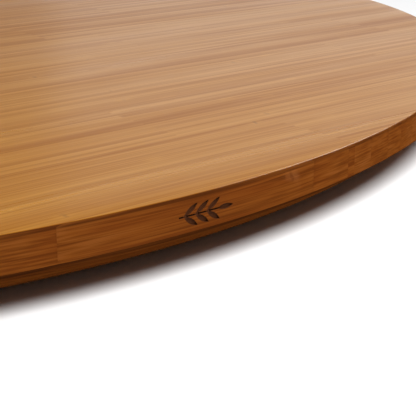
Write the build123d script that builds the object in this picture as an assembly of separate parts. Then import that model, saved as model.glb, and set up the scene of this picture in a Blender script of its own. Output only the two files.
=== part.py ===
"""Lazy susan turntable: a large round bamboo board that turns on a ring ball bearing sunk in its underside.

Frame: millimetres, +Z up, origin on the table at the turning axis. The bamboo strips run along X, and the
engraved leaf sprig is on the rim at -Y.

The turning body is the board, the inner bearing ring and the screws between them. The standing body is the outer
bearing ring on its rubber feet. The balls and their cage run between the two rings.
"""

from build123d import *
import math
import os

# ---- Board -------------------------------------------------------------------------------------------------
board_diameter = 700.0
board_thickness = 21.0
rim_band = 11.4  # height of the upright part of the rim
undercut_inset = 14.0  # how far the bevel under that band runs inwards
rim_top_round = 0.8
rim_band_round = 0.5
recess_depth = 6.5  # of the ring-shaped recess for the bearing
recess_edge_break = 0.5

# ---- Engraved leaf sprig -----------------------------------------------------------------------------------
mark_depth = 0.6
mark_sink = 2.4  # how far the flat sprig is pushed in, enough to reach the rim where it curves away
mark_drop = 6.2  # from the board's top face to the middle of the mark
stem_half_length = 9.6
stem_width = 0.55
leaf_length = 6.2
leaf_width = 1.7
leaf_lean = 34.0  # degrees between a leaf and the stem
leaf_pitch = 4.3  # along the stem
first_leaf = 1.72  # from the stem's end to its first pair of leaves
leaf_pairs = 3

# ---- Ring bearing ------------------------------------------------------------------------------------------
ball_circle_diameter = 400.0
ring_width = 23.8
ring_height = 8.0
ring_step = 1.0  # the turning ring sits this much higher, so that the standing ring clears the board
ring_edge_break = 0.6
ball_diameter = 4.76
ball_count = 48
race_clearance = 0.08  # round a ball, in the groove of each ring
cage_thickness = 1.2
cage_side_clearance = 0.6  # between the cage and each ring
cage_bridge = 1.0  # what is left of the cage above and below a ball
pocket_clearance = 0.12
recess_register_clearance = 0.15  # between the turning ring and the recess's inner wall
recess_run_clearance = 1.5  # between the standing ring and the recess's outer wall

# ---- Filler hole, which the balls go in through ------------------------------------------------------------
filler_clearance = 0.2  # round a ball
plug_clearance = 0.05
grub_length = 5.0
grub_inset = 1.0  # from the ring's outer wall
grub_socket = 2.5  # across the flats of its hexagon
grub_socket_depth = 2.4

# ---- Rubber feet -------------------------------------------------------------------------------------------
foot_count = 8
foot_diameter = 13.0
foot_drop = 1.5  # what shows below the standing ring
foot_sunk = 1.5  # what sits in the ring's socket
foot_draft = 0.6  # how much smaller its radius is at the table
foot_round = 0.4
foot_seat_clearance = 0.1

# ---- Screws that hold the turning ring to the board --------------------------------------------------------
screw_count = 8
screw_diameter = 4.0
screw_head = 7.8
screw_lip = 0.25  # height of the head's upright edge
screw_bite = 8.0  # how far a screw goes into the board
screw_core = 2.64
thread_pitch = 1.7
thread_ridge_share = 0.9  # of a pitch
screw_tip = 2.0  # length of the plain end past the last ridge
screw_hole_clearance = 0.25
head_clearance = 0.1
pilot_clearance = 0.05
pilot_extra_depth = 0.8
cross_width = 0.9
cross_span = 4.5
cross_depth = 1.8

# ---- Levels and radii that follow --------------------------------------------------------------------------
standing_bottom = foot_drop
standing_top = standing_bottom + ring_height
turning_bottom = standing_bottom + ring_step
turning_top = turning_bottom + ring_height
board_bottom = turning_top - recess_depth
board_top = board_bottom + board_thickness
band_bottom = board_top - rim_band
board_radius = board_diameter / 2

ball_radius = ball_diameter / 2
ball_circle = ball_circle_diameter / 2
ball_level = (turning_bottom + standing_top) / 2
race_radius = ball_radius + race_clearance
ring_gap = cage_thickness + 2 * cage_side_clearance
turning_outer = ball_circle - ring_gap / 2
turning_inner = turning_outer - ring_width
standing_inner = ball_circle + ring_gap / 2
standing_outer = standing_inner + ring_width
recess_inner = turning_inner - recess_register_clearance
recess_outer = standing_outer + recess_run_clearance
filler_radius = ball_radius + filler_clearance
plug_radius = filler_radius - plug_clearance
grub_outer_end = standing_outer - grub_inset
grub_inner_end = grub_outer_end - grub_length

screw_circle = (turning_outer + turning_inner) / 2
foot_circle = (standing_outer + standing_inner) / 2
foot_start = 180.0 / foot_count  # degrees, so that the filler hole lies between two feet


# ---- Helpers -----------------------------------------------------------------------------------------------
def turned(points):
    """The solid that a closed outline of (radius, height) points sweeps about Z."""
    return revolve(make_face(Polyline(*[(r, 0, z) for r, z in points], close=True)), Axis.Z)


def upright(radius, low, high):
    """A cylinder about Z between two heights."""
    return Pos(0, 0, (low + high) / 2) * Cylinder(radius, high - low)


def tube(inner, outer, low, high):
    """A plain ring about Z between two heights."""
    return upright(outer, low, high) - upright(inner, low, high)


def radial_pin(start, end, radius):
    """A round bar along X at ball height, from one distance from the axis to another."""
    return Pos((start + end) / 2, 0, ball_level) * Rot(0, 90, 0) * Cylinder(radius, end - start)


def ball_race():
    """The ring-shaped space that the balls run in, with its clearance."""
    return Pos(0, 0, ball_level) * Torus(ball_circle, race_radius)


def round_places(count, radius, start=0.0):
    """(x, y, angle in degrees) of each place on a circle."""
    places = []
    for k in range(count):
        angle = start + 360.0 * k / count
        a = math.radians(angle)
        places.append((radius * math.cos(a), radius * math.sin(a), angle))
    return places


def edges_round_axis(solid, radius, height):
    """The circular edges of that radius about Z, at that height."""
    found = []
    for edge in solid.edges().filter_by(GeomType.CIRCLE):
        on_axis = math.hypot(edge.arc_center.X, edge.arc_center.Y) < 1e-4
        if on_axis and abs(edge.radius - radius) < 1e-4 and abs(edge.arc_center.Z - height) < 1e-4:
            found.append(edge)
    return found


# ---- Board -------------------------------------------------------------------------------------------------
def leaf():
    """A pointed leaf from the origin along +X."""
    belly = leaf_length / 2
    upper = ThreePointArc((0, 0), (belly, leaf_width / 2), (leaf_length, 0))
    lower = ThreePointArc((leaf_length, 0), (belly, -leaf_width / 2), (0, 0))
    return make_face([upper, lower])


def leaf_sprig():
    """The mark's outline in its own plane: a stem with leaves in pairs, and one at its tip."""
    sprig = Rectangle(2 * stem_half_length, stem_width)
    start = -stem_half_length + first_leaf
    for k in range(leaf_pairs):
        for side in (1, -1):
            sprig += Pos(start + leaf_pitch * k, 0) * Rot(0, 0, side * leaf_lean) * leaf()
    return sprig + Pos(start + leaf_pitch * leaf_pairs, 0) * leaf()


def mark_cut():
    """The engraving's solid: the sprig pushed into the rim, to an even depth below its round face."""
    proud = 1.0
    plane = Plane(origin=(0, -board_radius - proud, board_top - mark_drop), x_dir=(1, 0, 0), z_dir=(0, -1, 0))
    pushed = extrude(plane * leaf_sprig(), amount=-(proud + mark_sink))
    return pushed & tube(board_radius - mark_depth, board_radius + 2 * proud, band_bottom, board_top)


def board_blank():
    """The round board with its bevelled rim."""
    outline = [
        (0, board_bottom),
        (board_radius - undercut_inset, board_bottom),
        (board_radius, band_bottom),
        (board_radius, board_top),
        (0, board_top),
    ]
    blank = turned(outline)
    blank = fillet(edges_round_axis(blank, board_radius, board_top), rim_top_round)
    return fillet(edges_round_axis(blank, board_radius, band_bottom), rim_band_round)


def make_board():
    board = board_blank() - tube(recess_inner, recess_outer, board_bottom, turning_top)
    mouth = []
    for radius in (recess_inner, recess_outer):
        mouth += edges_round_axis(board, radius, board_bottom)
    board = chamfer(mouth, recess_edge_break)
    depth = screw_bite + pilot_extra_depth
    for x, y, _ in round_places(screw_count, screw_circle):
        board -= Pos(x, y, turning_top + depth / 2) * Cylinder(screw_core / 2 + pilot_clearance, depth)
    return board - mark_cut()


# ---- Bearing rings -----------------------------------------------------------------------------------------
def ring_blank(inner, outer, low):
    """A plain ring with its edges broken and the race cut in it."""
    high = low + ring_height
    ring = tube(inner, outer, low, high)
    edges = []
    for radius in (inner, outer):
        for level in (low, high):
            edges += edges_round_axis(ring, radius, level)
    return chamfer(edges, ring_edge_break) - ball_race()


def screw_passage():
    """What one countersunk screw needs cut out of the turning ring, about Z."""
    over = 1.0
    top = screw_head / 2 + head_clearance
    hole = screw_diameter / 2 + screw_hole_clearance
    cone_end = turning_bottom + screw_lip + top - hole
    outline = [
        (0, turning_bottom - over),
        (top, turning_bottom - over),
        (top, turning_bottom + screw_lip),
        (hole, cone_end),
        (hole, turning_top + over),
        (0, turning_top + over),
    ]
    return turned(outline)


def make_turning_ring():
    """The inner ring. Its screws go up into the board, so their heads are sunk in its lower face."""
    ring = ring_blank(turning_inner, turning_outer, turning_bottom)
    passage = screw_passage()
    for x, y, _ in round_places(screw_count, screw_circle):
        ring -= Pos(x, y, 0) * passage
    return ring


def make_standing_ring():
    """The outer ring, with a socket for each foot and the hole that the balls go in through."""
    ring = ring_blank(standing_inner, standing_outer, standing_bottom)
    socket = upright(foot_diameter / 2 + foot_seat_clearance, standing_bottom, standing_bottom + foot_sunk)
    for x, y, _ in round_places(foot_count, foot_circle, foot_start):
        ring -= Pos(x, y, 0) * socket
    return ring - radial_pin(ball_circle, standing_outer + 1, filler_radius)


def make_filler_plug():
    """The pin that closes the filler hole. Its inner end carries on the ring's wall and its race."""
    pin = radial_pin(ball_circle, grub_inner_end, plug_radius)
    return (pin - upright(standing_inner, 0, board_top)) - ball_race()


def make_filler_grub_screw():
    """The grub screw that holds the plug in, with its hexagon socket facing out."""
    body = radial_pin(grub_inner_end, grub_outer_end, plug_radius)
    socket_plane = Plane(origin=(grub_outer_end, 0, ball_level), x_dir=(0, 1, 0), z_dir=(1, 0, 0))
    hexagon = RegularPolygon(grub_socket / 2, 6, major_radius=False)
    return body - extrude(socket_plane * hexagon, amount=-grub_socket_depth)


# ---- Balls and cage ----------------------------------------------------------------------------------------
def make_balls():
    balls = []
    for x, y, _ in round_places(ball_count, ball_circle):
        balls.append(Pos(x, y, ball_level) * Sphere(ball_radius))
    return Compound(children=balls)


def make_cage():
    """A thin hoop with a round pocket for each ball."""
    half_height = ball_radius + cage_bridge
    inner = ball_circle - cage_thickness / 2
    cage = tube(inner, inner + cage_thickness, ball_level - half_height, ball_level + half_height)
    pocket = Rot(0, 90, 0) * Cylinder(ball_radius + pocket_clearance, 4 * cage_thickness)
    for x, y, angle in round_places(ball_count, ball_circle):
        cage -= Pos(x, y, ball_level) * Rot(0, 0, angle) * pocket
    return cage


# ---- Feet and screws ---------------------------------------------------------------------------------------
def make_foot():
    """A rubber foot about Z, pressed up into its socket."""
    radius = foot_diameter / 2
    height = foot_drop + foot_sunk
    outline = [(0, 0), (radius - foot_draft, 0), (radius, foot_drop), (radius, height), (0, height)]
    foot = turned(outline)
    return fillet(edges_round_axis(foot, radius - foot_draft, 0), foot_round)


def make_screw():
    """A countersunk wood screw about Z, head down at the turning ring's lower face, a ridge each pitch."""
    core = screw_core / 2
    length = ring_height + screw_bite
    ridge = screw_diameter / 2
    head = screw_head / 2
    outline = [(0, 0), (head, 0), (head, screw_lip), (core, screw_lip + head - core)]
    height = ring_height - thread_pitch
    while height + thread_pitch <= length - screw_tip:
        ridge_end = height + thread_pitch * thread_ridge_share
        outline += [(core, height), (ridge, height + thread_pitch / 2), (core, ridge_end)]
        height += thread_pitch
    outline += [(core, length - screw_tip), (0, length)]
    slot = Pos(0, 0, cross_depth / 2) * Box(cross_span, cross_width, cross_depth)
    return turned(outline) - slot - Rot(0, 0, 90) * slot


# ---- Everything --------------------------------------------------------------------------------------------
def all_parts():
    """Each node's name and its solid."""
    parts = {
        "board": make_board(),
        "turning_ring": make_turning_ring(),
        "standing_ring": make_standing_ring(),
        "filler_plug": make_filler_plug(),
        "filler_grub_screw": make_filler_grub_screw(),
        "bearing_balls": make_balls(),
        "ball_cage": make_cage(),
    }
    screw = make_screw()
    for k, (x, y, angle) in enumerate(round_places(screw_count, screw_circle), 1):
        parts[f"board_screw_{k}"] = Pos(x, y, turning_bottom) * Rot(0, 0, angle) * screw
    foot = make_foot()
    for k, (x, y, angle) in enumerate(round_places(foot_count, foot_circle, foot_start), 1):
        parts[f"foot_{k}"] = Pos(x, y, 0) * Rot(0, 0, angle) * foot
    return parts


os.makedirs("parts", exist_ok=True)
for node, shape in all_parts().items():
    export_step(shape, f"parts/{node}.step")
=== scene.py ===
"""Lazy susan turntable: the looks of a large bamboo board that turns on a ring bearing sunk in its underside.

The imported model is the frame. The board's visible piece is made here as a fine mesh, and the bearing's parts,
which already have their true shapes, get their finishes here. Everything is in metres, +Z up, strips along X.
"""

import math

import bmesh
import bpy
from bpy.props import FloatProperty, FloatVectorProperty, IntProperty, PointerProperty
from mathutils import Matrix, Vector


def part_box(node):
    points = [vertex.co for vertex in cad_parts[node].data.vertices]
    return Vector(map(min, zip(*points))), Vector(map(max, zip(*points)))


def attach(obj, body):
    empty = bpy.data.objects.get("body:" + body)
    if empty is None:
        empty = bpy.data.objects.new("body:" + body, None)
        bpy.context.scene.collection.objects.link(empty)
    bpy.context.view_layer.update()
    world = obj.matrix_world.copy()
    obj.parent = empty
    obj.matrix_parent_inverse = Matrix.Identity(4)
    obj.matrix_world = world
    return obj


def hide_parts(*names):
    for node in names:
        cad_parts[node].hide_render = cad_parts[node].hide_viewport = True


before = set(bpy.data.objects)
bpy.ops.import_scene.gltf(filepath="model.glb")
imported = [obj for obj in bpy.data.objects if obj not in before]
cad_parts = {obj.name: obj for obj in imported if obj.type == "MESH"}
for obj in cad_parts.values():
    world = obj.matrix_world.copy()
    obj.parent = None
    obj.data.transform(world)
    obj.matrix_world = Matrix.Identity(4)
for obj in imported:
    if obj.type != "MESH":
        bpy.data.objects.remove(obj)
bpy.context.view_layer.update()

bl_info = {
    "name": "Lazy Susan Turntable",
    "version": (1, 0, 0),
    "blender": (4, 5, 0),
    "location": "3D View > Sidebar > Turntable",
    "description": "Makes a bamboo lazy susan's board and finishes, and a plain studio round it",
    "category": "Add Mesh",
}

MM = 0.001
BOARD_LOW, BOARD_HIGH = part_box("board")
_, RING_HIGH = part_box("turning_ring")


def linear(code):
    """An sRGB hex colour as linear red, green and blue."""
    channels = [int(code[k:k + 2], 16) / 255 for k in (1, 3, 5)]
    return tuple(c / 12.92 if c <= 0.04045 else ((c + 0.055) / 1.055) ** 2.4 for c in channels)


# ---- Settings ----------------------------------------------------------------------------------------------
class BoardSettings(bpy.types.PropertyGroup):
    """Sizes and colours of the bamboo board."""

    rim_band: FloatProperty(
        name="Rim band", description="Height of the upright part of the rim", default=11.4 * MM, unit="LENGTH"
    )
    undercut_inset: FloatProperty(
        name="Undercut",
        description="How far the bevel under the band runs inwards",
        default=14 * MM,
        unit="LENGTH",
    )
    top_round: FloatProperty(
        name="Top edge", description="Radius of the top edge's rounding", default=0.8 * MM, unit="LENGTH"
    )
    band_round: FloatProperty(
        name="Band edge", description="Radius of the band's lower edge", default=0.5 * MM, unit="LENGTH"
    )
    recess_inner: FloatProperty(
        name="Recess inside",
        description="Radius of the recess's inner wall",
        default=174.85 * MM,
        unit="LENGTH",
    )
    recess_outer: FloatProperty(
        name="Recess outside",
        description="Radius of the recess's outer wall",
        default=226.5 * MM,
        unit="LENGTH",
    )
    segments: IntProperty(name="Segments", description="Straight runs round the rim", default=720, min=64)
    mark_depth: FloatProperty(
        name="Mark depth", description="Depth of the engraved leaf sprig", default=0.6 * MM, unit="LENGTH"
    )
    mark_drop: FloatProperty(
        name="Mark drop",
        description="From the top face to the mark's middle",
        default=6.2 * MM,
        unit="LENGTH",
    )
    strip_width: FloatProperty(
        name="Strip width",
        description="Width of one bamboo strip on the top",
        default=3.43 * MM,
        unit="LENGTH",
    )
    piece_length: FloatProperty(
        name="Strip length",
        description="Length of a strip between its butt joints",
        default=620 * MM,
        unit="LENGTH",
    )
    knuckle_spacing: FloatProperty(
        name="Knuckle spacing",
        description="Between two knuckles of the bamboo",
        default=265 * MM,
        unit="LENGTH",
    )
    pale: FloatVectorProperty(
        name="Pale strips",
        description="Colour of the palest strips",
        subtype="COLOR",
        default=linear("#b77d2c"),
    )
    middle: FloatVectorProperty(
        name="Middle strips", description="Colour of most strips", subtype="COLOR", default=linear("#a96f20")
    )
    dark: FloatVectorProperty(
        name="Dark strips",
        description="Colour of the darkest strips",
        subtype="COLOR",
        default=linear("#985d1a"),
    )
    scorched: FloatVectorProperty(
        name="Scorched mark",
        description="Colour of the burnt mark",
        subtype="COLOR",
        default=linear("#3b1e0e"),
    )


class BearingSettings(bpy.types.PropertyGroup):
    """Colours of the bearing, its screws and its feet."""

    aluminium: FloatVectorProperty(
        name="Rings", description="Colour of the anodised rings", subtype="COLOR", default=linear("#c9cbce")
    )
    steel: FloatVectorProperty(
        name="Balls", description="Colour of the polished balls", subtype="COLOR", default=linear("#d5d6d8")
    )
    nylon: FloatVectorProperty(
        name="Cage", description="Colour of the ball cage", subtype="COLOR", default=linear("#e3ddcf")
    )
    zinc: FloatVectorProperty(
        name="Screws", description="Colour of the zinc plating", subtype="COLOR", default=linear("#c4c8cb")
    )
    black_oxide: FloatVectorProperty(
        name="Filler plug",
        description="Colour of the blackened steel",
        subtype="COLOR",
        default=linear("#2b2b2d"),
    )
    rubber: FloatVectorProperty(
        name="Feet", description="Colour of the rubber feet", subtype="COLOR", default=linear("#1d1d1e")
    )


class StudioSettings(bpy.types.PropertyGroup):
    """The floor, the lights and the camera."""

    lens: FloatProperty(name="Lens", description="Focal length on a 36 mm sensor", default=91.9)
    floor_colour: FloatVectorProperty(
        name="Floor", description="Colour of the plain floor", subtype="COLOR", default=linear("#f2f2f2")
    )
    softbox_power: FloatProperty(
        name="Softbox",
        description="Power of the overhead softbox",
        default=39.5,
        unit="POWER",
    )
    panel_power: FloatProperty(
        name="Panel",
        description="Power of the low panel at the back",
        default=2.3,
        unit="POWER",
    )
    sweep_power: FloatProperty(
        name="Sweep",
        description="Power of the strip along the back",
        default=6.8,
        unit="POWER",
    )
    side_power: FloatProperty(
        name="Side light",
        description="Power of the light on the edge",
        default=8.0,
        unit="POWER",
    )
    backdrop: FloatProperty(
        name="Backdrop",
        description="Brightness of the studio's pale walls",
        default=0.12,
    )


# ---- Nodes -------------------------------------------------------------------------------------------------
def put(tree, kind, inputs=None, **settings):
    """Adds a node with its settings, and links or sets its inputs. An input is a socket or a plain value."""
    node = tree.nodes.new(kind)
    for name, value in settings.items():
        setattr(node, name, value)
    for name, value in (inputs or {}).items():
        if isinstance(value, bpy.types.NodeSocket):
            tree.links.new(value, node.inputs[name])
        else:
            node.inputs[name].default_value = value
    return node


def new_material(name):
    """An empty node material, and its tree."""
    material = bpy.data.materials.new(name)
    material.use_nodes = True
    material.node_tree.nodes.clear()
    return material, material.node_tree


def close_material(tree, shader):
    """Ends a material's tree with its shader."""
    put(tree, "ShaderNodeOutputMaterial", {"Surface": shader.outputs["BSDF"]})


def dress(node_name, material):
    """Gives a CAD node its finish."""
    mesh_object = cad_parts[node_name]
    for slot in mesh_object.material_slots:
        slot.material = material


# ---- Bamboo ------------------------------------------------------------------------------------------------
# Sizes of the wood's figure in millimetres: along the strips, across them, and up.
FIBRE_ON_TOP = (70.0, 1.1, 0.62)
FIBRE_ON_RIM = (70.0, 3.0, 0.62)
STREAK_SIZE = (170.0, 1.9, 2.6)
CLOUD_SIZE = (330.0, 26.0, 60.0)
WOBBLE_SIZE = (9.0, 1.6, 3.4)
PATCH_SIZE = (60.0, 4.0, 7.0)
FIBRE_SHIFT = 700.0  # the most that one piece's fibres are moved against the next one's

# Butt joints.
BLOCK_SIZE = 14.0  # strips that share their joints' places
JOINT_SHIFT = 0.3  # of a strip's length

# Knuckles, in millimetres.
KNUCKLE_SHIFT = 61.5  # of their places, along the strips
KNUCKLE_WOBBLE = 5.0  # how crooked their lines are
TAIL_LENGTH = 30.0  # of the darker fibres that run up to a knuckle
TAIL_END = 0.49  # of the spacing: the knuckle itself lies at a half

# Tone, from 0 for the palest strip to 1 for the darkest.
PALEST_TONE = 0.22
TONE_SPREAD = 0.56
DENSITY_SHARE = 0.50
CLOUD_SHARE = 0.85
STREAK_SHARE = 1.05
FIBRE_SHARE = 1.35

# How much of each shade is mixed in, and the shade.
HALO_ON_TOP, HALO_ADDED_ON_RIM, HALO_SHADE = 0.14, 0.3, "#dca349"
KNUCKLE_SHARE, KNUCKLE_SHADE = 0.60, "#6d4012"
GLUE_SHARE, GLUE_SHADE = 0.48, "#7a4a18"
GLUE_FADED_ON_RIM = 0.75
# The rim's deeper, redder tint: partly its own colour, partly painted shade on the side faces.
RIM_TINT_AND_SHADE = "#b99dc4"
# Fine dark fibre lines on the rim, and painted shade under its top edge and on its bevel, mixed towards one
# dark brown.
RIM_LINE_SHARE, EDGE_SHADE_SHARE, RIM_LINE_AND_SHADE_COLOUR = 0.35, 0.45, "#3a1c0a"
TAIL_DEEPENS = 2.5  # the rim's lines, where a tail runs
# Painted shade on the downward bevel: faint at its foot, strongest just under the band.
BEVEL_SHADE_AT_FOOT, BEVEL_SHADE_AT_BAND = 0.04, 0.80
# Where the painted shade line under the top edge lies:
EDGE_SHADE_END, EDGE_SHADE_START = 1.5, 0.9  # millimetres under the top face
# Where the bevel's painted shade lies:
BEVEL_SHADE_END, BEVEL_SHADE_START = 8.0, 0.3  # millimetres under the band

# Finish.
ROUGH_LOW, ROUGH_HIGH, ROUGH_FIBRES = 0.22, 0.30, 0.12
LACQUER_IOR = 1.5
GLUE_SINKS = 0.8  # against the height of the fibres


def bamboo_pattern(tree, board):
    """The board's wood as a solid pattern, in millimetres: strips, butt joints, knuckles, fibres, glue lines.

    It is a block of wood that the board is cut from, so the top, the rim and the bevel agree where they meet.
    Returns the sockets that the finish needs.
    """
    place = put(tree, "ShaderNodeTexCoord")
    mm = put(tree, "ShaderNodeVectorMath", {0: place.outputs["Object"], "Scale": 1 / MM}, operation="SCALE")
    at = put(tree, "ShaderNodeSeparateXYZ", {0: mm.outputs[0]})
    x, y, z = at.outputs

    # How far a face turns away from the top, and how squarely it cuts the fibres. The planed underside is in
    # between.
    facing = put(tree, "ShaderNodeSeparateXYZ", {0: place.outputs["Normal"]})
    rim = put(
        tree,
        "ShaderNodeMapRange",
        {"Value": facing.outputs[2], "From Min": 0.80, "From Max": 0.995, "To Min": 1.0, "To Max": 0.0},
        interpolation_type="SMOOTHSTEP",
    ).outputs[0]
    planed = put(
        tree,
        "ShaderNodeMapRange",
        {"Value": facing.outputs[2], "From Min": -0.99, "From Max": -0.9, "To Min": 0.4, "To Max": 1.0},
    ).outputs[0]
    rim = put(tree, "ShaderNodeMath", {0: rim, 1: planed}, operation="MULTIPLY").outputs[0]
    end_grain = put(tree, "ShaderNodeMath", {0: facing.outputs[0]}, operation="ABSOLUTE")
    end_grain = put(
        tree,
        "ShaderNodeMapRange",
        {"Value": end_grain.outputs[0], "From Min": 0.15, "From Max": 0.6, "To Min": 0.0, "To Max": 0.85},
    ).outputs[0]

    # Strips across Y, counted from the rim at -Y, where one strip's face shows on the rim.
    radius = BOARD_HIGH.x / MM
    width = board.strip_width / MM
    from_rim = put(tree, "ShaderNodeMath", {0: y, 1: radius}, operation="ADD")
    across = put(tree, "ShaderNodeMath", {0: from_rim.outputs[0], 1: width}, operation="DIVIDE")
    strip = put(tree, "ShaderNodeMath", {0: across.outputs[0]}, operation="FLOOR").outputs[0]
    within = put(tree, "ShaderNodeMath", {0: across.outputs[0]}, operation="FRACT").outputs[0]

    # Every other strip of a block of strips has its butt joints in one line.
    block = put(tree, "ShaderNodeMath", {0: strip, 1: BLOCK_SIZE}, operation="DIVIDE")
    block = put(tree, "ShaderNodeMath", {0: block.outputs[0]}, operation="FLOOR")
    block_shift = put(tree, "ShaderNodeTexWhiteNoise", {"W": block.outputs[0]}, noise_dimensions="1D")
    stagger = put(tree, "ShaderNodeMath", {0: strip, 1: 0.5}, operation="MULTIPLY")
    along = put(
        tree,
        "ShaderNodeMath",
        {0: x, 1: MM / board.piece_length, 2: block_shift.outputs["Value"]},
        operation="MULTIPLY_ADD",
    )
    along = put(tree, "ShaderNodeMath", {0: along.outputs[0], 1: stagger.outputs[0]}, operation="ADD")
    along = put(tree, "ShaderNodeMath", {0: along.outputs[0], 1: JOINT_SHIFT}, operation="ADD")
    piece = put(tree, "ShaderNodeMath", {0: along.outputs[0]}, operation="FLOOR").outputs[0]
    piece_id = put(tree, "ShaderNodeCombineXYZ", {0: strip, 1: piece, 2: 0.0})
    piece_noise = put(tree, "ShaderNodeTexWhiteNoise", {"Vector": piece_id.outputs[0]}, noise_dimensions="3D")
    chance = put(tree, "ShaderNodeSeparateXYZ", {0: piece_noise.outputs["Color"]})

    # Fibres run along X and break at every glue line and joint.
    shift = put(
        tree,
        "ShaderNodeVectorMath",
        {0: piece_noise.outputs["Color"], "Scale": FIBRE_SHIFT},
        operation="SCALE",
    )
    shifted = put(tree, "ShaderNodeVectorMath", {0: mm.outputs[0], 1: shift.outputs[0]}, operation="ADD")
    fibre_size = put(
        tree,
        "ShaderNodeMix",
        {"Factor": rim, "A": FIBRE_ON_TOP, "B": FIBRE_ON_RIM},
        data_type="VECTOR",
    )
    fibres_at = put(
        tree,
        "ShaderNodeVectorMath",
        {0: shifted.outputs[0], 1: fibre_size.outputs["Result"]},
        operation="DIVIDE",
    )
    fibres = put(
        tree,
        "ShaderNodeTexNoise",
        {"Vector": fibres_at.outputs[0], "Scale": 1.0, "Detail": 2.0, "Roughness": 0.6},
    ).outputs["Fac"]
    fibres = put(
        tree, "ShaderNodeMix", {"Factor": end_grain, "A": fibres, "B": 0.5}, data_type="FLOAT"
    ).outputs["Result"]
    streaks_at = put(
        tree, "ShaderNodeVectorMath", {0: shifted.outputs[0], 1: STREAK_SIZE}, operation="DIVIDE"
    )
    streaks = put(
        tree, "ShaderNodeTexNoise", {"Vector": streaks_at.outputs[0], "Scale": 1.0, "Detail": 1.0}
    ).outputs["Fac"]
    clouds_at = put(tree, "ShaderNodeVectorMath", {0: mm.outputs[0], 1: CLOUD_SIZE}, operation="DIVIDE")
    clouds = put(
        tree, "ShaderNodeTexNoise", {"Vector": clouds_at.outputs[0], "Scale": 1.0, "Detail": 2.0}
    ).outputs["Fac"]

    # Tone: each piece has its own, and each is denser towards the side that was the cane's outside.
    turned = put(tree, "ShaderNodeMath", {0: chance.outputs[1], 1: 0.5}, operation="SUBTRACT")
    lean = put(tree, "ShaderNodeMath", {0: within, 1: 0.5}, operation="SUBTRACT")
    density = put(tree, "ShaderNodeMath", {0: turned.outputs[0], 1: lean.outputs[0]}, operation="MULTIPLY")
    tone = put(
        tree,
        "ShaderNodeMath",
        {0: chance.outputs[0], 1: TONE_SPREAD, 2: PALEST_TONE},
        operation="MULTIPLY_ADD",
    )
    tone = put(
        tree,
        "ShaderNodeMath",
        {0: density.outputs[0], 1: DENSITY_SHARE, 2: tone.outputs[0]},
        operation="MULTIPLY_ADD",
    )
    for source, share in ((clouds, CLOUD_SHARE), (streaks, STREAK_SHARE), (fibres, FIBRE_SHARE)):
        centred = put(tree, "ShaderNodeMath", {0: source, 1: 0.5}, operation="SUBTRACT")
        tone = put(
            tree,
            "ShaderNodeMath",
            {0: centred.outputs[0], 1: share, 2: tone.outputs[0]},
            operation="MULTIPLY_ADD",
        )

    # Knuckles: a thin dark line across the strip with a paler swelling round it, and a tail of darker fibres.
    # Patches of the wood have them, and others have none.
    strip_noise = put(tree, "ShaderNodeTexWhiteNoise", {"W": strip}, noise_dimensions="1D")
    wobble_at = put(tree, "ShaderNodeVectorMath", {0: shifted.outputs[0], 1: WOBBLE_SIZE}, operation="DIVIDE")
    wobble = put(tree, "ShaderNodeTexNoise", {"Vector": wobble_at.outputs[0], "Scale": 1.0, "Detail": 1.0})
    spacing = board.knuckle_spacing / MM
    knuckle_x = put(tree, "ShaderNodeMath", {0: x, 1: KNUCKLE_SHIFT}, operation="SUBTRACT")
    count = put(
        tree,
        "ShaderNodeMath",
        {0: knuckle_x.outputs[0], 1: 1 / spacing, 2: strip_noise.outputs["Value"]},
        operation="MULTIPLY_ADD",
    )
    count = put(
        tree,
        "ShaderNodeMath",
        {0: wobble.outputs["Fac"], 1: KNUCKLE_WOBBLE / spacing, 2: count.outputs[0]},
        operation="MULTIPLY_ADD",
    )
    phase = put(tree, "ShaderNodeMath", {0: count.outputs[0]}, operation="FRACT")
    offset = put(tree, "ShaderNodeMath", {0: phase.outputs[0], 1: 0.5}, operation="SUBTRACT")
    offset = put(tree, "ShaderNodeMath", {0: offset.outputs[0]}, operation="ABSOLUTE")
    offset = put(tree, "ShaderNodeMath", {0: offset.outputs[0], 1: spacing}, operation="MULTIPLY")
    knuckle_line = put(
        tree,
        "ShaderNodeMapRange",
        {"Value": offset.outputs[0], "From Min": 0.2, "From Max": 1.1, "To Min": 1.0, "To Max": 0.0},
        interpolation_type="SMOOTHSTEP",
    )
    knuckle_halo = put(
        tree,
        "ShaderNodeMapRange",
        {"Value": offset.outputs[0], "From Min": 0.8, "From Max": 5.5, "To Min": 1.0, "To Max": 0.0},
        interpolation_type="SMOOTHSTEP",
    )
    patches_at = put(tree, "ShaderNodeVectorMath", {0: shifted.outputs[0], 1: PATCH_SIZE}, operation="DIVIDE")
    patches = put(tree, "ShaderNodeTexNoise", {"Vector": patches_at.outputs[0], "Scale": 1.0, "Detail": 0.0})
    patch = put(
        tree,
        "ShaderNodeMapRange",
        {"Value": patches.outputs["Fac"], "From Min": 0.44, "From Max": 0.58, "To Min": 0.0, "To Max": 1.0},
    )
    bold = put(tree, "ShaderNodeMath", {0: chance.outputs[2], 1: 2.0}, operation="POWER")
    bold = put(tree, "ShaderNodeMix", {"Factor": rim, "A": bold.outputs[0], "B": 1.0}, data_type="FLOAT")
    bold = put(tree, "ShaderNodeMath", {0: bold.outputs["Result"], 1: patch.outputs[0]}, operation="MULTIPLY")
    knuckle_line = put(
        tree, "ShaderNodeMath", {0: knuckle_line.outputs[0], 1: bold.outputs[0]}, operation="MULTIPLY"
    ).outputs[0]
    knuckle_halo = put(
        tree, "ShaderNodeMath", {0: knuckle_halo.outputs[0], 1: patch.outputs[0]}, operation="MULTIPLY"
    )
    tail_start = 0.5 - TAIL_LENGTH / spacing
    tail = put(
        tree,
        "ShaderNodeMapRange",
        {"Value": phase.outputs[0], "From Min": tail_start, "From Max": 0.5, "To Min": 0.0, "To Max": 1.0},
    )
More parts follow.
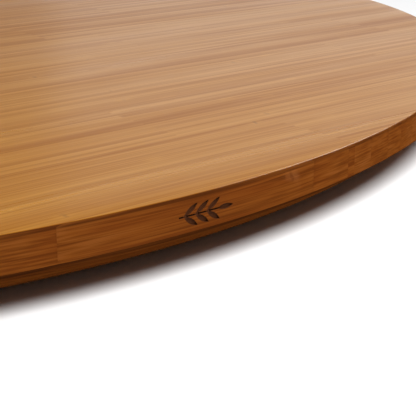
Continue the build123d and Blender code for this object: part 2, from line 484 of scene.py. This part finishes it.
    before = put(tree, "ShaderNodeMath", {0: phase.outputs[0], 1: TAIL_END}, operation="LESS_THAN")
    tail = put(tree, "ShaderNodeMath", {0: tail.outputs[0], 1: before.outputs[0]}, operation="MULTIPLY")
    tail = put(tree, "ShaderNodeMath", {0: tail.outputs[0], 1: bold.outputs[0]}, operation="MULTIPLY")

    # Glue lines between the strips, fainter where the rim shows a strip's face.
    centre_gap = put(tree, "ShaderNodeMath", {0: lean.outputs[0]}, operation="ABSOLUTE")
    glue = put(
        tree,
        "ShaderNodeMapRange",
        {"Value": centre_gap.outputs[0], "From Min": 0.455, "From Max": 0.5, "To Min": 0.0, "To Max": 1.0},
        interpolation_type="SMOOTHSTEP",
    ).outputs[0]
    faded = put(tree, "ShaderNodeMath", {0: rim, 1: -GLUE_FADED_ON_RIM, 2: 1.0}, operation="MULTIPLY_ADD")
    glue = put(tree, "ShaderNodeMath", {0: glue, 1: faded.outputs[0]}, operation="MULTIPLY").outputs[0]
    return {
        "z": z,
        "upward": facing.outputs[2],
        "rim": rim,
        "tone": tone.outputs[0],
        "fibres": fibres,
        "clouds": clouds,
        "knuckle_line": knuckle_line,
        "knuckle_halo": knuckle_halo.outputs[0],
        "knuckle_tail": tail.outputs[0],
        "glue": glue,
    }


def caramelised_bamboo(board):
    """Steamed, upright-strip bamboo, planed and given a satin lacquer: warm tan with fine straight fibres.

    The lacquer gives a soft sheen at low angles. The milled rim drinks it, so it is matt. Its deeper, redder
    tint is partly its own colour and partly painted shade; painted shade also lies under its top edge and on
    its bevel.
    """
    material, tree = new_material("caramelised bamboo, satin lacquered")
    wood = bamboo_pattern(tree, board)
    ramp = put(tree, "ShaderNodeValToRGB", {"Fac": wood["tone"]})
    stops = ramp.color_ramp.elements
    stops[0].position = 0.05
    stops[0].color = (*board.pale, 1)
    stops[1].position = 0.95
    stops[1].color = (*board.dark, 1)
    stops.new(0.5).color = (*board.middle, 1)
    colour = ramp.outputs["Color"]

    swelling = put(
        tree,
        "ShaderNodeMath",
        {0: wood["rim"], 1: HALO_ADDED_ON_RIM, 2: HALO_ON_TOP},
        operation="MULTIPLY_ADD",
    )
    paler = put(
        tree, "ShaderNodeMath", {0: wood["knuckle_halo"], 1: swelling.outputs[0]}, operation="MULTIPLY"
    )
    colour = put(
        tree,
        "ShaderNodeMix",
        {"Factor": paler.outputs[0], "A": colour, "B": (*linear(HALO_SHADE), 1)},
        data_type="RGBA",
    ).outputs["Result"]
    for source, share, shade in (
        (wood["knuckle_line"], KNUCKLE_SHARE, KNUCKLE_SHADE),
        (wood["glue"], GLUE_SHARE, GLUE_SHADE),
    ):
        amount = put(tree, "ShaderNodeMath", {0: source, 1: share}, operation="MULTIPLY")
        colour = put(
            tree,
            "ShaderNodeMix",
            {"Factor": amount.outputs[0], "A": colour, "B": (*linear(shade), 1)},
            data_type="RGBA",
        ).outputs["Result"]

    # Faces turned away from the top get a deeper, redder tint: partly the rim's own colour, partly painted
    # shade.
    colour = put(
        tree,
        "ShaderNodeMix",
        {"Factor": wood["rim"], "A": colour, "B": (*linear(RIM_TINT_AND_SHADE), 1)},
        data_type="RGBA",
        blend_type="MULTIPLY",
    ).outputs["Result"]

    # The milled rim's open fibres show as fine dark lines along it. Painted shade: a dark line just under the
    # top edge's rounding, and a bevel darkened as it faces down, darkest just under the band.
    lines = put(
        tree,
        "ShaderNodeMapRange",
        {
            "Value": wood["fibres"],
            "From Min": 0.42,
            "From Max": 0.66,
            "To Min": 0.0,
            "To Max": RIM_LINE_SHARE,
        },
    )
    deepened = put(
        tree, "ShaderNodeMath", {0: wood["knuckle_tail"], 1: TAIL_DEEPENS, 2: 1.0}, operation="MULTIPLY_ADD"
    )
    lines = put(tree, "ShaderNodeMath", {0: lines.outputs[0], 1: deepened.outputs[0]}, operation="MULTIPLY")
    # Painted shade: a dark line just under the top edge's rounding.
    edge = put(
        tree,
        "ShaderNodeMapRange",
        {
            "Value": wood["z"],
            "From Min": BOARD_HIGH.z / MM - EDGE_SHADE_END,
            "From Max": BOARD_HIGH.z / MM - EDGE_SHADE_START,
            "To Min": 0.0,
            "To Max": EDGE_SHADE_SHARE,
        },
    )
    # Painted shade: faces that turn downwards are darker, most just under the band.
    under = put(
        tree,
        "ShaderNodeMapRange",
        {"Value": wood["upward"], "From Min": -0.2, "From Max": -0.6, "To Min": 0.0, "To Max": 1.0},
    )
    below = put(
        tree,
        "ShaderNodeMapRange",
        {
            "Value": wood["z"],
            "From Min": (BOARD_HIGH.z - board.rim_band) / MM - BEVEL_SHADE_END,
            "From Max": (BOARD_HIGH.z - board.rim_band) / MM - BEVEL_SHADE_START,
            "To Min": BEVEL_SHADE_AT_FOOT,
            "To Max": BEVEL_SHADE_AT_BAND,
        },
    )
    under = put(tree, "ShaderNodeMath", {0: under.outputs[0], 1: below.outputs[0]}, operation="MULTIPLY")
    # The rim's fibre lines plus the painted shade, on the rim only, mixed towards one dark brown.
    rim_lines_and_shade = put(tree, "ShaderNodeMath", {0: lines.outputs[0], 1: edge.outputs[0]}, operation="ADD")
    rim_lines_and_shade = put(tree, "ShaderNodeMath", {0: rim_lines_and_shade.outputs[0], 1: under.outputs[0]}, operation="ADD")
    rim_lines_and_shade = put(tree, "ShaderNodeMath", {0: rim_lines_and_shade.outputs[0], 1: wood["rim"]}, operation="MULTIPLY")
    colour = put(
        tree,
        "ShaderNodeMix",
        {"Factor": rim_lines_and_shade.outputs[0], "A": colour, "B": (*linear(RIM_LINE_AND_SHADE_COLOUR), 1)},
        data_type="RGBA",
    ).outputs["Result"]

    # The rounded edge is rubbed smoother than the top.
    rough = put(
        tree,
        "ShaderNodeMapRange",
        {
            "Value": wood["clouds"],
            "From Min": 0.3,
            "From Max": 0.7,
            "To Min": ROUGH_LOW,
            "To Max": ROUGH_HIGH,
        },
    )
    rough = put(
        tree,
        "ShaderNodeMath",
        {0: wood["fibres"], 1: ROUGH_FIBRES, 2: rough.outputs[0]},
        operation="MULTIPLY_ADD",
    )
    rubbed = put(
        tree,
        "ShaderNodeMapRange",
        {"Value": wood["upward"], "From Min": 0.96, "From Max": 0.999, "To Min": 0.4, "To Max": 1.0},
    )
    rough = put(tree, "ShaderNodeMath", {0: rough.outputs[0], 1: rubbed.outputs[0]}, operation="MULTIPLY")
    # The lacquer's shine ends where the milled rim begins, and the darker, denser strips shine less.
    gloss = put(
        tree,
        "ShaderNodeMapRange",
        {"Value": wood["upward"], "From Min": 0.84, "From Max": 0.95, "To Min": 0.0, "To Max": 0.5},
    )
    shine = put(
        tree,
        "ShaderNodeMapRange",
        {"Value": wood["tone"], "From Min": 0.1, "From Max": 0.9, "To Min": 1.45, "To Max": 0.55},
    )
    gloss = put(tree, "ShaderNodeMath", {0: gloss.outputs[0], 1: shine.outputs[0]}, operation="MULTIPLY")
    height = put(
        tree, "ShaderNodeMath", {0: wood["glue"], 1: -GLUE_SINKS, 2: wood["fibres"]}, operation="MULTIPLY_ADD"
    )
    relief = put(
        tree, "ShaderNodeBump", {"Height": height.outputs[0], "Strength": 0.35, "Distance": 0.03 * MM}
    )
    shader = put(
        tree,
        "ShaderNodeBsdfPrincipled",
        {
            "Base Color": colour,
            "Roughness": rough.outputs[0],
            "IOR": LACQUER_IOR,
            "Specular IOR Level": gloss.outputs[0],
            "Normal": relief.outputs[0],
        },
    )
    close_material(tree, shader)
    return material


def scorched_bamboo(board):
    """Bamboo burnt away by an engraver's laser: matt dark brown, streaked where hard fibres charred less."""
    material, tree = new_material("scorched bamboo, laser engraved")
    wood = bamboo_pattern(tree, board)
    colour = put(
        tree,
        "ShaderNodeMix",
        {"Factor": wood["fibres"], "A": (*board.scorched, 1), "B": (*linear("#5a3116"), 1)},
        data_type="RGBA",
    )
    char_relief = put(
        tree, "ShaderNodeBump", {"Height": wood["fibres"], "Strength": 0.8, "Distance": 0.08 * MM}
    )
    shader = put(
        tree,
        "ShaderNodeBsdfPrincipled",
        {
            "Base Color": colour.outputs["Result"],
            "Roughness": 0.85,
            "Specular IOR Level": 0.1,
            "Normal": char_relief.outputs[0],
        },
    )
    close_material(tree, shader)
    return material


# ---- Board's mesh ------------------------------------------------------------------------------------------
def rounded(corner, before, after, radius, steps):
    """Points of an arc of that radius that rounds a corner between two straight runs."""
    corner, before, after = Vector(corner), Vector(before), Vector(after)
    u = (before - corner).normalized()
    v = (after - corner).normalized()
    half = u.angle(v) / 2
    centre = corner + (u + v).normalized() * (radius / math.sin(half))
    start = corner + u * (radius / math.tan(half)) - centre
    end = corner + v * (radius / math.tan(half)) - centre
    turn = start.angle_signed(end)
    points = []
    for k in range(steps + 1):
        arm = start.copy()
        arm.rotate(Matrix.Rotation(-turn * k / steps, 2))
        points.append(tuple(centre + arm))
    return points


def board_outline(board):
    """(radius, height) points from the top's middle, round the rim and the recess, to the middle below."""
    radius, low, high = BOARD_HIGH.x, BOARD_LOW.z, BOARD_HIGH.z
    band_low = high - board.rim_band
    ceiling = RING_HIGH.z
    recess_break, foot_round = 0.5 * MM, 0.4 * MM
    foot = radius - board.undercut_inset
    outline = [(radius * share, high) for share in (0.0, 0.25, 0.5, 0.75, 0.9, 0.97)]
    outline += rounded((radius, high), (0, high), (radius, low), board.top_round, 8)
    outline += rounded((radius, band_low), (radius, high), (foot, low), board.band_round, 6)
    outline += rounded((foot, low), (radius, band_low), (0, low), foot_round, 4)
    outline += [
        (board.recess_outer + recess_break, low),
        (board.recess_outer, low + recess_break),
        (board.recess_outer, ceiling),
        (board.recess_inner, ceiling),
        (board.recess_inner, low + recess_break),
        (board.recess_inner - recess_break, low),
        (0, low),
    ]
    return outline


def turned_mesh(name, outline, segments):
    """A closed mesh that an outline from axis to axis sweeps about Z."""
    bm = bmesh.new()
    rings = []
    for r, z in outline:
        if r == 0:
            rings.append([bm.verts.new((0, 0, z))])
            continue
        ring = []
        for k in range(segments):
            a = 2 * math.pi * k / segments
            ring.append(bm.verts.new((r * math.cos(a), r * math.sin(a), z)))
        rings.append(ring)
    for upper, lower in zip(rings, rings[1:]):
        for k in range(segments):
            n = (k + 1) % segments
            if len(upper) == 1:
                bm.faces.new((upper[0], lower[k], lower[n]))
            elif len(lower) == 1:
                bm.faces.new((upper[n], upper[k], lower[0]))
            else:
                bm.faces.new((upper[n], upper[k], lower[k], lower[n]))
    bmesh.ops.recalc_face_normals(bm, faces=bm.faces)
    mesh = bpy.data.meshes.new(name)
    bm.to_mesh(mesh)
    bm.free()
    return mesh


# ---- Engraved leaf sprig -----------------------------------------------------------------------------------
STEM_HALF, STEM_WIDTH = 9.6 * MM, 0.55 * MM
LEAF_LENGTH, LEAF_WIDTH, LEAF_LEAN = 6.2 * MM, 1.7 * MM, math.radians(34)
LEAF_PITCH, LEAF_PAIRS = 4.3 * MM, 3
FIRST_LEAF = 0.4  # of a pitch from the stem's end
MARK_REACH = 1 * MM  # of the cutting solids, out past the rim
CREASE_ANGLE = math.radians(24)


def leaf_outline(base, lean):
    """Points round a pointed leaf from a place on the stem, leaning away from it."""
    steps = 10
    sag = LEAF_WIDTH / 2
    arc_radius = (LEAF_LENGTH ** 2 / 4 + sag ** 2) / (2 * sag)
    points = []
    for side in (1, -1):
        for k in range(steps):
            along = LEAF_LENGTH * k / steps if side == 1 else LEAF_LENGTH * (1 - k / steps)
            out = math.sqrt(arc_radius ** 2 - (along - LEAF_LENGTH / 2) ** 2) - (arc_radius - sag)
            turned = Vector((along, side * out))
            turned.rotate(Matrix.Rotation(lean, 2))
            points.append((base + turned.x, turned.y))
    return points


def sprig_outlines():
    """The mark's outlines in its own plane: the stem, the leaves in pairs and the one at the tip."""
    half = STEM_WIDTH / 2
    outlines = [[(-STEM_HALF, -half), (STEM_HALF, -half), (STEM_HALF, half), (-STEM_HALF, half)]]
    start = -STEM_HALF + LEAF_PITCH * FIRST_LEAF
    for k in range(LEAF_PAIRS):
        for side in (1, -1):
            outlines.append(leaf_outline(start + LEAF_PITCH * k, side * LEAF_LEAN))
    outlines.append(leaf_outline(start + LEAF_PITCH * LEAF_PAIRS, 0.0))
    return outlines


def mark_cutter(board):
    """The solids that cut the mark: each outline wrapped on the rim, from outside it to an even depth."""
    radius = BOARD_HIGH.x
    level = BOARD_HIGH.z - board.mark_drop
    bm = bmesh.new()
    for outline in sprig_outlines():
        shells = []
        for reach in (radius + MARK_REACH, radius - board.mark_depth):
            shell = [bm.verts.new((u, -math.sqrt(reach ** 2 - u ** 2), level + v)) for u, v in outline]
            shells.append(shell)
        outer, inner = shells
        bm.faces.new(outer)
        bm.faces.new(list(reversed(inner)))
        for k in range(len(outline)):
            n = (k + 1) % len(outline)
            bm.faces.new((outer[k], inner[k], inner[n], outer[n]))
    bmesh.ops.triangulate(bm, faces=bm.faces)
    bmesh.ops.recalc_face_normals(bm, faces=bm.faces)
    mesh = bpy.data.meshes.new("mark_cutter")
    bm.to_mesh(mesh)
    bm.free()
    return mesh


class TURNTABLE_OT_board(bpy.types.Operator):
    """Make the bamboo board with its undercut rim, its bearing recess and its engraved mark"""

    bl_idname = "turntable.board"
    bl_label = "Bamboo Board"

    def execute(self, context):
        board = context.scene.turntable_board
        mesh = turned_mesh("bamboo_board", board_outline(board), board.segments)
        mesh.materials.append(caramelised_bamboo(board))
        piece = bpy.data.objects.new("bamboo_board", mesh)
        context.collection.objects.link(piece)

        cutter_mesh = mark_cutter(board)
        cutter_mesh.materials.append(scorched_bamboo(board))
        cutter = bpy.data.objects.new("mark_cutter", cutter_mesh)
        context.collection.objects.link(cutter)
        cut = piece.modifiers.new("engraving", "BOOLEAN")
        cut.object = cutter
        cut.operation = "DIFFERENCE"
        cut.solver = "EXACT"
        cut.use_self = True
        cut.material_mode = "TRANSFER"
        uncut = len(mesh.vertices)
        context.view_layer.update()
        cut_mesh = bpy.data.meshes.new_from_object(piece.evaluated_get(context.evaluated_depsgraph_get()))
        if len(cut_mesh.vertices) <= uncut:
            raise RuntimeError("the engraving didn't cut the board")
        piece.modifiers.clear()
        piece.data = cut_mesh
        bpy.data.objects.remove(cutter)
        cut_mesh.polygons.foreach_set("use_smooth", [True] * len(cut_mesh.polygons))
        cut_mesh.set_sharp_from_angle(angle=CREASE_ANGLE)

        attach(piece, "turntable")
        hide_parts("board")
        return {"FINISHED"}


# ---- Bearing's finishes ------------------------------------------------------------------------------------
def anodised_aluminium(bearing):
    """Lathe-turned aluminium ring with a clear anodised skin: pale grey, with fine rings and a soft gleam."""
    material, tree = new_material("clear anodised aluminium, turned")
    place = put(tree, "ShaderNodeTexCoord")
    mm = put(tree, "ShaderNodeVectorMath", {0: place.outputs["Object"], "Scale": 1 / MM}, operation="SCALE")
    at = put(tree, "ShaderNodeSeparateXYZ", {0: mm.outputs[0]})
    flat = put(tree, "ShaderNodeCombineXYZ", {0: at.outputs[0], 1: at.outputs[1], 2: 0.0})
    radius = put(tree, "ShaderNodeVectorMath", {0: flat.outputs[0]}, operation="LENGTH")
    # The tool leaves a groove every 0.25 mm, drawn as 0.5 mm so that it shows.
    pass_width = 0.5
    turned_at = put(tree, "ShaderNodeCombineXYZ", {0: radius.outputs["Value"], 1: at.outputs[2], 2: 0.0})
    turned_at = put(
        tree, "ShaderNodeVectorMath", {0: turned_at.outputs[0], "Scale": 1 / pass_width}, operation="SCALE"
    )
    lines = put(tree, "ShaderNodeTexNoise", {"Vector": turned_at.outputs[0], "Scale": 1.0, "Detail": 2.0})
    handling = put(tree, "ShaderNodeTexNoise", {"Vector": mm.outputs[0], "Scale": 0.03, "Detail": 3.0})
    rough = put(
        tree,
        "ShaderNodeMapRange",
        {"Value": handling.outputs["Fac"], "From Min": 0.3, "From Max": 0.7, "To Min": 0.26, "To Max": 0.42},
    )
    tint = put(
        tree,
        "ShaderNodeMix",
        {"Factor": lines.outputs["Fac"], "A": (*bearing.aluminium, 1), "B": (*linear("#b3b6ba"), 1)},
        data_type="RGBA",
    )
    relief = put(
        tree, "ShaderNodeBump", {"Height": lines.outputs["Fac"], "Strength": 0.3, "Distance": 0.02 * MM}
    )
    shader = put(
        tree,
        "ShaderNodeBsdfPrincipled",
        {
            "Base Color": tint.outputs["Result"],
            "Metallic": 1.0,
            "Roughness": rough.outputs[0],
            "Normal": relief.outputs[0],
        },
    )
    close_material(tree, shader)
    return material


def speckled(name, colours, grain, rough, metallic, bump):
    """A finish with a grain of that size in millimetres, mottled between two colours and two roughnesses."""
    colour, mottled = colours
    rough_low, rough_high = rough
    material, tree = new_material(name)
    place = put(tree, "ShaderNodeTexCoord")
    mm = put(tree, "ShaderNodeVectorMath", {0: place.outputs["Object"], "Scale": 1 / MM}, operation="SCALE")
    fine = put(tree, "ShaderNodeTexNoise", {"Vector": mm.outputs[0], "Scale": 1 / grain, "Detail": 3.0})
    broad = put(tree, "ShaderNodeTexNoise", {"Vector": mm.outputs[0], "Scale": 0.1 / grain, "Detail": 2.0})
    tint = put(
        tree,
        "ShaderNodeMix",
        {"Factor": broad.outputs["Fac"], "A": (*colour, 1), "B": (*mottled, 1)},
        data_type="RGBA",
    )
    roughness = put(
        tree,
        "ShaderNodeMapRange",
        {
            "Value": fine.outputs["Fac"],
            "From Min": 0.3,
            "From Max": 0.7,
            "To Min": rough_low,
            "To Max": rough_high,
        },
    )
    relief = put(tree, "ShaderNodeBump", {"Height": fine.outputs["Fac"], "Strength": 0.4, "Distance": bump})
    shader = put(
        tree,
        "ShaderNodeBsdfPrincipled",
        {
            "Base Color": tint.outputs["Result"],
            "Metallic": metallic,
            "Roughness": roughness.outputs[0],
            "Normal": relief.outputs[0],
        },
    )
    close_material(tree, shader)
    return material


class TURNTABLE_OT_rings(bpy.types.Operator):
    """Finish the turning ring and the standing ring in turned, anodised aluminium"""

    bl_idname = "turntable.rings"
    bl_label = "Bearing Rings"

    def execute(self, context):
        material = anodised_aluminium(context.scene.turntable_bearing)
        for name in ("turning_ring", "standing_ring"):
            dress(name, material)
        return {"FINISHED"}


class TURNTABLE_OT_balls(bpy.types.Operator):
    """Finish the balls, their cage and the plug of the hole they go in through"""

    bl_idname = "turntable.balls"
    bl_label = "Balls, Cage and Filler Plug"

    def execute(self, context):
        bearing = context.scene.turntable_bearing
        # Hardened balls, tumbled to a mirror: bright, with a trace of oil.
        steel = speckled(
            "bearing steel, polished",
            colours=(bearing.steel, linear("#bfc1c6")),
            grain=1.5,
            rough=(0.06, 0.14),
            metallic=1.0,
            bump=0.001 * MM,
        )
        dress("bearing_balls", steel)
        # Moulded nylon: off-white, waxy and slightly uneven.
        nylon = speckled(
            "natural nylon, moulded",
            colours=(bearing.nylon, linear("#d6cebb")),
            grain=0.4,
            rough=(0.42, 0.58),
            metallic=0.0,
            bump=0.02 * MM,
        )
        dress("ball_cage", nylon)
        # Steel blackened in an oxide bath: near black, with worn grey specks.
        black = speckled(
            "steel, black oxide",
            colours=(bearing.black_oxide, linear("#46464a")),
            grain=0.3,
            rough=(0.34, 0.55),
            metallic=1.0,
            bump=0.01 * MM,
        )
        for name in ("filler_plug", "filler_grub_screw"):
            dress(name, black)
        return {"FINISHED"}


class TURNTABLE_OT_screws(bpy.types.Operator):
    """Finish the eight countersunk screws in bright zinc"""

    bl_idname = "turntable.screws"
    bl_label = "Board Screws"

    def execute(self, context):
        bearing = context.scene.turntable_bearing
        # Zinc plate over rolled threads: cool silver with a faint straw tinge.
        zinc = speckled(
            "steel, bright zinc plated",
            colours=(bearing.zinc, linear("#c8c3ae")),
            grain=0.5,
            rough=(0.2, 0.36),
            metallic=1.0,
            bump=0.008 * MM,
        )
        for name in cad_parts:
            if name.startswith("board_screw_"):
                dress(name, zinc)
        return {"FINISHED"}


class TURNTABLE_OT_feet(bpy.types.Operator):
    """Finish the rubber feet under the standing ring"""

    bl_idname = "turntable.feet"
    bl_label = "Rubber Feet"

    def execute(self, context):
        bearing = context.scene.turntable_bearing
        # Moulded rubber: soft black with a dusty bloom.
        rubber = speckled(
            "black rubber, moulded",
            colours=(bearing.rubber, linear("#2c2c2d")),
            grain=0.35,
            rough=(0.62, 0.82),
            metallic=0.0,
            bump=0.03 * MM,
        )
        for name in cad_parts:
            if name.startswith("foot_"):
                dress(name, rubber)
        return {"FINISHED"}


# ---- Stage -------------------------------------------------------------------------------------------------
FLOOR_HALF = 6.0
SENSOR_WIDTH = 36.0

# The camera's place in shares of the board's radius, from the middle of the top, and where it looks.
CAMERA_RIGHT, CAMERA_BACK, CAMERA_UP = -0.5396, -1.6472, 0.2813
CAMERA_HEADING, CAMERA_DIP, CAMERA_ROLL = math.radians(50), math.radians(19.34), math.radians(0.25)

# Each light: its name, its width and height, its place in metres, and the setting that holds its power.
# The overhead one hangs a little in front, so that the rim is lit too and throws a close shadow. The panel
# and the sweep stand low at the back, where the lacquer mirrors them as a sheen. The side light draws the
# bright line along the top edge.
SOFTBOXES = (
    ("overhead_softbox", (1.0, 1.0), (0.2, -1.05, 1.5), "softbox_power"),
    ("back_panel", (1.5, 1.0), (2.05, 1.70, 0.52), "panel_power"),
    ("back_sweep", (4.0, 0.30), (1.1, 2.6, 0.16), "sweep_power"),
    ("side_light", (0.9, 0.6), (2.05, 0.60, 1.56), "side_power"),
)


def floor(colour):
    """A wide, plain, matt floor."""
    corners = ((-1, -1), (1, -1), (1, 1), (-1, 1))
    bm = bmesh.new()
    bm.faces.new([bm.verts.new((FLOOR_HALF * i, FLOOR_HALF * j, 0)) for i, j in corners])
    mesh = bpy.data.meshes.new("floor")
    bm.to_mesh(mesh)
    bm.free()
    material, tree = new_material("white paper sweep")
    shader = put(tree, "ShaderNodeBsdfPrincipled", {"Base Color": (*colour, 1), "Roughness": 0.9})
    close_material(tree, shader)
    mesh.materials.append(material)
    return bpy.data.objects.new("floor", mesh)


def softbox(name, size, location, target, power):
    """A softbox of that width and height that faces a place, and isn't seen itself."""
    light = bpy.data.lights.new(name, "AREA")
    light.shape = "RECTANGLE"
    light.size, light.size_y = size
    light.energy = power
    lamp = bpy.data.objects.new(name, light)
    lamp.visible_camera = False
    lamp.location = location
    lamp.rotation_euler = (Vector(target) - Vector(location)).to_track_quat("-Z", "Y").to_euler()
    return lamp


def camera(lens):
    """The camera, low over the rim and to the left of the mark."""
    radius, high = BOARD_HIGH.x, BOARD_HIGH.z
    data = bpy.data.cameras.new("camera")
    data.sensor_width = SENSOR_WIDTH
    data.lens = lens
    eye = bpy.data.objects.new("camera", data)
    eye.location = (CAMERA_RIGHT * radius, CAMERA_BACK * radius, high + CAMERA_UP * radius)
    level = math.cos(CAMERA_DIP)
    look = Vector((math.cos(CAMERA_HEADING) * level, math.sin(CAMERA_HEADING) * level, -math.sin(CAMERA_DIP)))
    roll = Matrix.Rotation(CAMERA_ROLL, 3, "Z").to_quaternion()
    eye.rotation_mode = "QUATERNION"
    eye.rotation_quaternion = look.to_track_quat("-Z", "Y") @ roll
    return eye


class TURNTABLE_OT_stage(bpy.types.Operator):
    """Make the plain floor, the soft studio light and the camera"""

    bl_idname = "turntable.stage"
    bl_label = "Studio"

    def execute(self, context):
        studio = context.scene.turntable_studio
        ground = floor(studio.floor_colour)
        context.collection.objects.link(ground)
        for name, size, location, setting in SOFTBOXES:
            lamp = softbox(name, size, location, (0, 0, BOARD_HIGH.z), getattr(studio, setting))
            context.collection.objects.link(lamp)
        eye = camera(studio.lens)
        context.collection.objects.link(eye)
        context.scene.camera = eye

        world = bpy.data.worlds.new("studio")
        world.use_nodes = True
        background = world.node_tree.nodes["Background"]
        background.inputs["Color"].default_value = (*linear("#f4f4f6"), 1)
        background.inputs["Strength"].default_value = studio.backdrop
        context.scene.world = world
        context.scene.view_settings.view_transform = "Standard"
        return {"FINISHED"}


class TURNTABLE_PT_panel(bpy.types.Panel):
    """The turntable's pieces, in the order they are made"""

    bl_idname = "TURNTABLE_PT_panel"
    bl_label = "Lazy Susan Turntable"
    bl_space_type = "VIEW_3D"
    bl_region_type = "UI"
    bl_category = "Turntable"

    def draw(self, context):
        for operator in OPERATORS:
            self.layout.operator(operator.bl_idname)
        for group in GROUPS:
            box = self.layout.box()
            settings = getattr(context.scene, GROUPS[group])
            for name in group.__annotations__:
                box.prop(settings, name)


OPERATORS = (
    TURNTABLE_OT_board,
    TURNTABLE_OT_rings,
    TURNTABLE_OT_balls,
    TURNTABLE_OT_screws,
    TURNTABLE_OT_feet,
    TURNTABLE_OT_stage,
)
GROUPS = {
    BoardSettings: "turntable_board",
    BearingSettings: "turntable_bearing",
    StudioSettings: "turntable_studio",
}


def register():
    for group, name in GROUPS.items():
        bpy.utils.register_class(group)
        setattr(bpy.types.Scene, name, PointerProperty(type=group))
    for operator in OPERATORS:
        bpy.utils.register_class(operator)
    bpy.utils.register_class(TURNTABLE_PT_panel)


def unregister():
    bpy.utils.unregister_class(TURNTABLE_PT_panel)
    for operator in reversed(OPERATORS):
        bpy.utils.unregister_class(operator)
    for group, name in GROUPS.items():
        delattr(bpy.types.Scene, name)
        bpy.utils.unregister_class(group)


def main():
    """Makes every piece."""
    register()
    bpy.ops.turntable.board()
    bpy.ops.turntable.rings()
    bpy.ops.turntable.balls()
    bpy.ops.turntable.screws()
    bpy.ops.turntable.feet()
    bpy.ops.turntable.stage()


if __name__ == "__main__":
    main()
